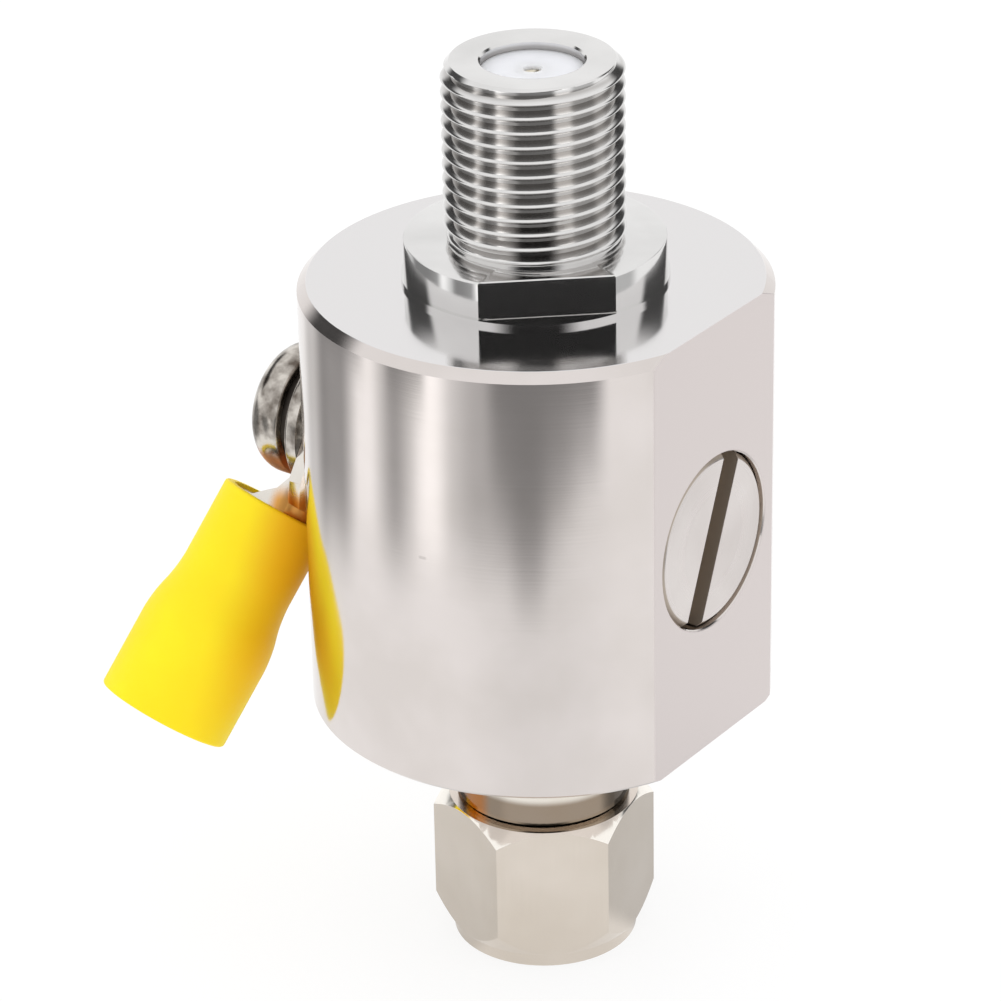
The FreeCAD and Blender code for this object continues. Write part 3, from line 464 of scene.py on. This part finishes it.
def makeSleeve():
    # a narrow neck that flares to a wide mouth
    mesh = bmesh.new()
    bore, neck, mouth = sleeve["boreRadius"], sleeve["neckRadius"], sleeve["mouthRadius"]
    inner = mouth - sleeve["mouthWall"]
    flareStart, flareEnd, end = sleeve["flareStart"], sleeve["flareEnd"], sleeve["length"]
    spunProfile(mesh, [
        (bore, 0), (neck, 0), (neck, flareStart), (mouth, flareEnd), (mouth, end),
        (inner, end), (inner, flareEnd), (bore, flareStart)], sleeve["steps"])
    # wide soft bends where the flare starts and ends, then narrow round lips at both ends
    rounds = [(neck, flareStart, "bend"), (mouth, flareEnd, "bend"), (bore, flareStart, "bend"),
              (neck, 0, "lip"), (mouth, end, "lip"), (inner, end, "lip")]
    for radius, level, kind in rounds:
        bmesh.ops.bevel(
            mesh, geom=ringEdges(mesh, radius, level), offset=sleeve[kind + "Span"] * mm,
            offset_type="OFFSET", segments=sleeve[kind + "Steps"], profile=0.5,
            affect="EDGES", material=-1)
    # the wire mount gives the barrel's axis and a point on it
    wire = mounts["ground_wire"]
    direction = Vector(wire["axis"]).normalized()
    start = Vector(wire["pos_m"]) + direction * sleeve["startFromWireMount"] * mm
    turned = direction.to_track_quat("Z", "Y").to_matrix().to_4x4()
    bmesh.ops.transform(mesh, matrix=Matrix.Translation(start) @ turned, verts=mesh.verts)
    return finished("terminal_sleeve_moulded", mesh, "terminal", vinyl,
                    sleeve["sharpFrom"])


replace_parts(makeSleeve(), "terminal_sleeve")

# Pieces whose sharp edges are broken: the width in mm, the angle from which an edge counts, and the
# one from which it still looks sharp. rimFrom keeps to the rim of the round head, not its recess.
brokenEdges = {
    "coupling_nut": {"name": "nut_broken_edges", "body": "coupling_nut", "slot": "nickel_nut",
                     "material": nutNickel, "width": 0.07, "from": 20, "sharpFrom": 12},
    "gas_tube_cap": {"name": "cap_broken_edges", "body": "cap", "slot": "nickel_body",
                     "material": capNickel, "width": 0.13, "from": 40, "sharpFrom": 12},
    "ring_terminal": {"name": "terminal_broken_edges", "body": "terminal", "slot": "tinned_copper",
                      "material": tin, "width": 0.12, "from": 40, "sharpFrom": 35},
    "ground_screw": {"name": "screw_broken_edges", "body": "ground_screw", "slot": "steel_screw",
                     "material": steel, "width": 0.3, "from": 50, "sharpFrom": 40,
                     "rimFrom": 3.0, "axisHeight": 27.55},
}
flatWithin = 0.5  # degrees, triangles nearer to level than this are one face


def withBrokenEdges(node, piece):
    # a merged copy of a frame node, each edge sharper than an angle rounded off by a width
    mesh = bmesh.new()
    mesh.from_mesh(nodes[node].data)
    bmesh.ops.remove_doubles(mesh, verts=mesh.verts, dist=seamGap * mm)
    bmesh.ops.dissolve_limit(
        mesh, angle_limit=math.radians(flatWithin), verts=mesh.verts, edges=mesh.edges)
    sharp = [edge for edge in mesh.edges
             if len(edge.link_faces) == 2 and edge.calc_face_angle() > math.radians(piece["from"])]
    if "rimFrom" in piece:
        middle = Vector((0, piece["axisHeight"])) * mm
        sharp = [edge for edge in sharp if piece["rimFrom"] * mm < min(
            (vert.co.yz - middle).length for vert in edge.verts)]
    bmesh.ops.bevel(
        mesh, geom=sharp, offset=piece["width"] * mm, offset_type="OFFSET", segments=2,
        profile=0.5, affect="EDGES", material=-1, clamp_overlap=True)
    return finished(piece["name"], mesh, piece["body"], piece["material"],
                    piece["sharpFrom"])


for node, piece in brokenEdges.items():
    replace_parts(withBrokenEdges(node, piece), node)

# each CAD node's own finish
finishes = {
    "housing": bodyNickel, "jack_shell": threadNickel, "plug_neck": neckNickel,
    "coupling_nut": nutNickel, "gas_tube_cap": capNickel,
    "jack_contact": paleGold, "centre_conductor": gold, "plug_pin": gold,
    "jack_dielectric": polymer, "plug_insulator": polymer,
    "jack_seal_ring": rubber, "plug_gasket": rubber, "cap_seal_ring": rubber,
    "retaining_ring": springSteel, "contact_spring": springSteel,
    "gas_tube_ceramic": alumina, "inner_electrode": electrode, "outer_electrode": electrode,
    "ground_screw": steel, "flat_washer": steel, "spring_washer": shadedWasherSteel,
    "ring_terminal": tin, "terminal_sleeve": vinyl,
}
for name, node in nodes.items():
    node.data.materials.clear()
    node.data.materials.append(finishes[name])
print("pieces done")

# Studio: a white room as the metal sees it, with soft dark cards. Degrees are from the camera's
# side, and dark is the share of the light that a card takes away; below 0 it adds light. What is
# marked twice shows only in light that the metal has passed on once before, as thread flanks do.
# Each floor patch comes in between from and to, in mm from the middle, and may end again.
studio = {
    "cameraPlace": (121.37904, -170.02273, 131.81854), "roomLight": 1.2, "floorGlow": 0.8,
    "floorHalf": 2.0, "shadowGrey": 0.2, "endSoft": 4, "twiceFrom": 1.5,
    "cards": [
        {"at": 0, "half": 30, "soft": 12, "height": 26, "tall": 22, "edge": 6, "dark": 0.985,
         "twice": True},
        {"at": 131, "half": 25, "soft": 4, "height": 24, "tall": 10, "edge": 5, "dark": 0.93},
    ],
    "floorPatches": [
        {"at": 0, "half": 28, "soft": 4, "from": 35, "to": 42, "dark": 0.985, "twice": True},
        {"at": -44, "half": 8, "soft": 4, "from": 35, "to": 42, "dark": -1.1, "twice": True},
        {"at": 43, "half": 11, "soft": 4, "from": 35, "to": 42, "dark": -1.1, "twice": True},
        {"at": -64, "half": 8, "soft": 4, "from": 35, "to": 42, "dark": 0.6, "twice": True},
        {"at": -97, "half": 16, "soft": 6, "from": 35, "to": 42, "dark": -1.2, "twice": True},
        {"at": 124, "half": 16, "soft": 8, "from": 35, "to": 42, "dark": 0.6, "twice": True},
        {"at": 3, "half": 24, "soft": 6, "from": 76, "to": 83, "dark": 0.58},
        {"at": -1, "half": 17, "soft": 7, "from": 71, "to": 78, "dark": 0.52},
        {"at": -5, "half": 10, "soft": 8, "from": 63, "to": 72, "dark": 0.42},
        {"at": -5, "half": 6, "soft": 5, "from": 57, "to": 67, "dark": 0.5},
        {"at": -16, "half": 22, "soft": 12, "from": 60, "to": 75, "dark": 0.58},
        {"at": 0, "half": 24, "soft": 16, "from": 20, "to": 50, "dark": 0.12},
        {"at": -68, "half": 7, "soft": 7, "from": 56, "to": 73, "dark": 0.7},
        {"at": -110, "half": 14, "soft": 7, "from": 52, "to": 70, "dark": 0.8},
        {"at": -128, "half": 12, "soft": 6, "from": 50, "to": 66, "dark": 0.4},
        {"at": -86, "half": 6, "soft": 4, "from": 62, "to": 72, "dark": -0.2},
        {"at": -49, "half": 6, "soft": 5, "from": 62, "to": 72, "dark": -0.45},
        {"at": 4, "half": 24, "soft": 5, "from": 86, "to": 94, "dark": 0.95},
        {"at": -62, "half": 10, "soft": 3, "from": 88, "to": 96, "dark": 0.85},
        {"at": -105, "half": 18, "soft": 4, "from": 88, "to": 96, "dark": 0.85},
        {"at": 72, "half": 18, "soft": 6, "from": 88, "to": 96, "dark": 0.6},
        {"at": -80, "half": 30, "soft": 8, "from": 0, "to": 1, "end": 25, "dark": 0.22},
        {"at": 108, "half": 32, "soft": 8, "from": 0, "to": 1, "end": 25, "dark": 0.36},
    ],
}
cameraAzimuth = math.atan2(studio["cameraPlace"][1], studio["cameraPlace"][0])


def fromCameraSide(tree, vector):
    # turn a direction so that X points to the camera's side; gives its parts and its angle
    turned = addNode(tree, "ShaderNodeVectorRotate", {"Vector": vector, "Angle": -cameraAzimuth},
                     rotation_type="Z_AXIS")
    split = addNode(tree, "ShaderNodeSeparateXYZ", {0: turned})
    angle = addNode(tree, "ShaderNodeMath", {0: split.outputs[1], 1: split.outputs[0]},
                    operation="ARCTAN2")
    return split, addNode(tree, "ShaderNodeMath", {0: angle}, operation="DEGREES")


def dimmed(tree, shade, masks, dark):
    # what is left of the light behind a card that is the product of its masks
    card = dark
    for mask in masks:
        card = addNode(tree, "ShaderNodeMath", {0: card, 1: mask}, operation="MULTIPLY")
    clear = addNode(tree, "ShaderNodeMath", {0: 1.0, 1: card}, operation="SUBTRACT")
    return addNode(tree, "ShaderNodeMath", {0: shade, 1: clear}, operation="MULTIPLY")


world = bpy.data.worlds.new("studio")
world.use_nodes = True
scene.world = world
tree = world.node_tree
tree.nodes.clear()
split, angle = fromCameraSide(tree, addNode(tree, "ShaderNodeTexCoord").outputs["Generated"])
away = addNode(tree, "ShaderNodeMath", {0: angle}, operation="ABSOLUTE")
height = addNode(tree, "ShaderNodeMath", {0: split.outputs[2]}, operation="ARCSINE")
height = addNode(tree, "ShaderNodeMath", {0: height}, operation="DEGREES")
rays = addNode(tree, "ShaderNodeLightPath")
again = addNode(tree, "ShaderNodeMath", {0: rays.outputs["Glossy Depth"], 1: studio["twiceFrom"]},
                operation="GREATER_THAN")
shade = 1.0
for card in studio["cards"]:
    masks = [softPatch(tree, away, card["at"], card["half"], card["soft"]),
             softPatch(tree, height, card["height"], card["tall"], card["edge"])]
    if "twice" in card:
        masks.append(again)
    shade = dimmed(tree, shade, masks, card["dark"])
seen = addNode(tree, "ShaderNodeMix", {
    "Factor": rays.outputs["Is Glossy Ray"], 2: studio["roomLight"], 3: shade})
white = addNode(tree, "ShaderNodeMix", {"Factor": rays.outputs["Is Camera Ray"], 2: seen, 3: 1.0})
background = addNode(tree, "ShaderNodeBackground", {"Color": (1, 1, 1, 1), "Strength": white})
addNode(tree, "ShaderNodeOutputWorld", {"Surface": background})

# floor: white to the eye, with a faint shadow, and soft dark patches that only the metal shows
floorMesh = bmesh.new()
bmesh.ops.create_grid(floorMesh, x_segments=1, y_segments=1, size=studio["floorHalf"])
floorData = bpy.data.meshes.new("studio_floor")
floorMesh.to_mesh(floorData)
floorMesh.free()
floor = bpy.data.objects.new("studio_floor", floorData)
scene.collection.objects.link(floor)
paper = bpy.data.materials.new("white_floor")
paper.use_nodes = True
floorData.materials.append(paper)
tree = paper.node_tree
tree.nodes.clear()
place = addNode(tree, "ShaderNodeTexCoord").outputs["Object"]
split, angle = fromCameraSide(tree, place)
reach = addNode(tree, "ShaderNodeVectorMath", {0: place}, operation="LENGTH").outputs["Value"]
rays = addNode(tree, "ShaderNodeLightPath")
again = addNode(tree, "ShaderNodeMath", {0: rays.outputs["Glossy Depth"], 1: studio["twiceFrom"]},
                operation="GREATER_THAN")
shade = 1.0
for patch in studio["floorPatches"]:
    masks = [softPatch(tree, angle, patch["at"], patch["half"], patch["soft"])]
    masks.append(addNode(tree, "ShaderNodeMapRange", {
        "Value": reach, "From Min": patch["from"] * mm, "From Max": patch["to"] * mm},
        interpolation_type="SMOOTHSTEP"))
    if "end" in patch:
        gone = patch["end"] + studio["endSoft"]
        masks.append(addNode(tree, "ShaderNodeMapRange", {
            "Value": reach, "From Min": gone * mm, "From Max": patch["end"] * mm}))
    if "twice" in patch:
        masks.append(again)
    shade = dimmed(tree, shade, masks, patch["dark"])
shade = addNode(tree, "ShaderNodeMath", {0: shade, 1: studio["floorGlow"]}, operation="MULTIPLY")
glow = addNode(tree, "ShaderNodeMix", {
    "Factor": rays.outputs["Is Glossy Ray"], 2: studio["floorGlow"], 3: shade})
lit = addNode(tree, "ShaderNodeEmission", {"Color": (1, 1, 1, 1), "Strength": glow})
matte = addNode(tree, "ShaderNodeBsdfDiffuse", {"Color": [studio["shadowGrey"]] * 3 + [1]})
both = addNode(tree, "ShaderNodeAddShader", {0: lit, 1: matte})
addNode(tree, "ShaderNodeOutputMaterial", {"Surface": both})
print("studio done")

# the photo's view, with its lens and sensor in mm and its turn in degrees
photoView = {"lens": 157.218, "sensor": 36.0, "turn": (63.1838347, 1.0216548, 35.574541)}
cameraData = bpy.data.cameras.new("photo_camera")
cameraData.lens = photoView["lens"]
cameraData.sensor_width = photoView["sensor"]
camera = bpy.data.objects.new("photo_camera", cameraData)
camera.location = Vector(studio["cameraPlace"]) * mm
camera.rotation_euler = [math.radians(turn) for turn in photoView["turn"]]
scene.collection.objects.link(camera)
scene.camera = camera
scene.view_settings.view_transform = "Standard"
